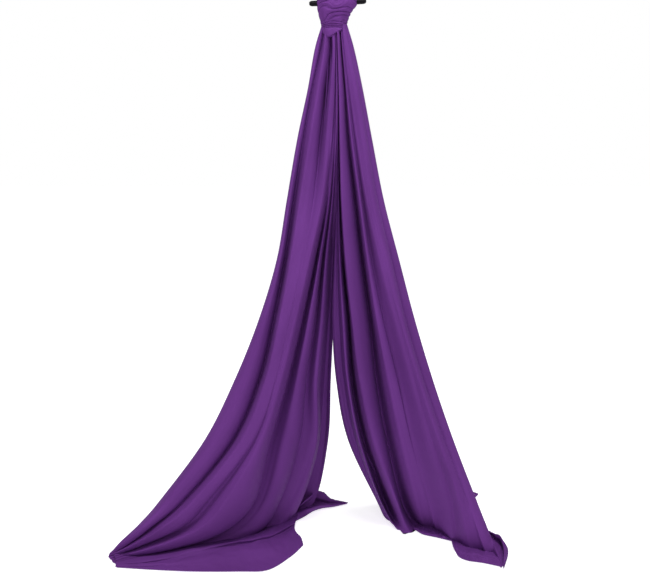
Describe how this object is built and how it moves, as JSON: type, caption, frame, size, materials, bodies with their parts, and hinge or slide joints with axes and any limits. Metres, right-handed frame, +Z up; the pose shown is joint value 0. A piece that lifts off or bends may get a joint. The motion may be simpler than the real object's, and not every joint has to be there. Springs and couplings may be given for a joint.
{
  "type": "aerial silks",
  "caption": "Aerial silks: two gathered fabric tails hitched to a figure-eight with ears, hung on a carabiner, ball-bearing swivel and carabiner.",
  "frame": {"origin": "the point inside the upper carabiner's top bow that bears on the anchor", "axes": "+Z up along the line of hang, +X to the viewer's right across the two tails, +Y away from the viewer"},
  "size_m": [1.31, 0.5325, 2.089],
  "materials": {
    "forged_steel": "zinc-plated, satin",
    "hardened_steel": "ground steel",
    "black_aluminium": "black anodised, satin",
    "seal_rubber": "matt",
    "purple_fabric": "fine knit tricot with a soft sheen"
  },
  "bodies": {
    "upper_carabiner": {"upper_carabiner_frame": "forged_steel", "upper_carabiner_hinge_pin": "hardened_steel"},
    "upper_gate": {"upper_carabiner_gate": "forged_steel", "upper_carabiner_latch_pin": "hardened_steel", "upper_carabiner_plunger": "hardened_steel", "upper_carabiner_gate_spring": "hardened_steel"},
    "upper_sleeve": {"upper_carabiner_sleeve": "forged_steel"},
    "swivel_top": {"swivel_housing": "forged_steel", "swivel_retaining_ring": "hardened_steel", "bearing_lower_race": "hardened_steel"},
    "bearing_balls": {"bearing_ball_01": "hardened_steel", "bearing_ball_02": "hardened_steel", "bearing_ball_03": "hardened_steel", "bearing_ball_04": "hardened_steel", "bearing_ball_05": "hardened_steel", "bearing_ball_06": "hardened_steel", "bearing_ball_07": "hardened_steel", "bearing_ball_08": "hardened_steel", "bearing_ball_09": "hardened_steel", "bearing_ball_10": "hardened_steel", "bearing_ball_11": "hardened_steel", "bearing_ball_12": "hardened_steel"},
    "swivel_bottom": {"swivel_lower_eye": "forged_steel", "swivel_axle": "hardened_steel", "swivel_cross_pin": "hardened_steel", "bearing_upper_race": "hardened_steel", "swivel_seal": "seal_rubber"},
    "lower_carabiner": {"lower_carabiner_frame": "forged_steel", "lower_carabiner_hinge_pin": "hardened_steel"},
    "lower_gate": {"lower_carabiner_gate": "forged_steel", "lower_carabiner_latch_pin": "hardened_steel", "lower_carabiner_plunger": "hardened_steel", "lower_carabiner_gate_spring": "hardened_steel"},
    "lower_sleeve": {"lower_carabiner_sleeve": "forged_steel"},
    "figure_eight": {"figure_eight": "black_aluminium", "fabric_loop": "purple_fabric", "fabric_knot": "purple_fabric"},
    "left_tail": {"left_tail": "purple_fabric"},
    "right_tail": {"right_tail": "purple_fabric"}
  },
  "joints": [
    {"name": "swivel_swing", "type": "hinge", "parent": "upper_carabiner", "child": "swivel_top", "pos_m": [0, 0, -0.0925], "axis": [0, 1, 0], "range_deg": [-35, 35]},
    {"name": "swivel_spin", "type": "hinge", "parent": "swivel_top", "child": "swivel_bottom", "pos_m": [0, 0, -0.13], "axis": [0, 0, 1], "continuous": true},
    {"name": "ball_orbit", "type": "hinge", "parent": "swivel_top", "child": "bearing_balls", "pos_m": [0, 0, -0.13], "axis": [0, 0, 1], "continuous": true},
    {"name": "lower_carabiner_swing", "type": "hinge", "parent": "swivel_bottom", "child": "lower_carabiner", "pos_m": [0, 0, -0.1827], "axis": [1, 0, 0], "range_deg": [-35, 35]},
    {"name": "figure_eight_swing", "type": "hinge", "parent": "lower_carabiner", "child": "figure_eight", "pos_m": [0, 0, -0.2689], "axis": [0, 1, 0], "range_deg": [-35, 35]},
    {"name": "left_tail_spread", "type": "hinge", "parent": "figure_eight", "child": "left_tail", "pos_m": [-0.0315, 0, -0.4848], "axis": [0, 1, 0], "range_deg": [0, 30]},
    {"name": "right_tail_spread", "type": "hinge", "parent": "figure_eight", "child": "right_tail", "pos_m": [0.0195, 0, -0.4848], "axis": [0, -1, 0], "range_deg": [0, 30]},
    {"name": "upper_gate_open", "type": "hinge", "parent": "upper_carabiner", "child": "upper_gate", "pos_m": [0, 0.0245, -0.0613], "axis": [1, 0, 0], "range_deg": [0, 27], "stiffness_Nm_per_rad": 0.4, "springref_deg": -22.92},
    {"name": "upper_sleeve_screw", "type": "slide", "parent": "upper_gate", "child": "upper_sleeve", "axis": [0, 0, 1], "range_m": [0, 0.0128]},
    {"name": "lower_gate_open", "type": "hinge", "parent": "lower_carabiner", "child": "lower_gate", "pos_m": [0, -0.0245, -0.2377], "axis": [-1, 0, 0], "range_deg": [0, 27], "stiffness_Nm_per_rad": 0.4, "springref_deg": -22.92},
    {"name": "lower_sleeve_screw", "type": "slide", "parent": "lower_gate", "child": "lower_sleeve", "axis": [0, 0, 1], "range_m": [0, 0.0128]}
  ],
  "couplings": [
    {"joint": "ball_orbit", "follows": "swivel_spin", "ratio": 0.5}
  ]
}
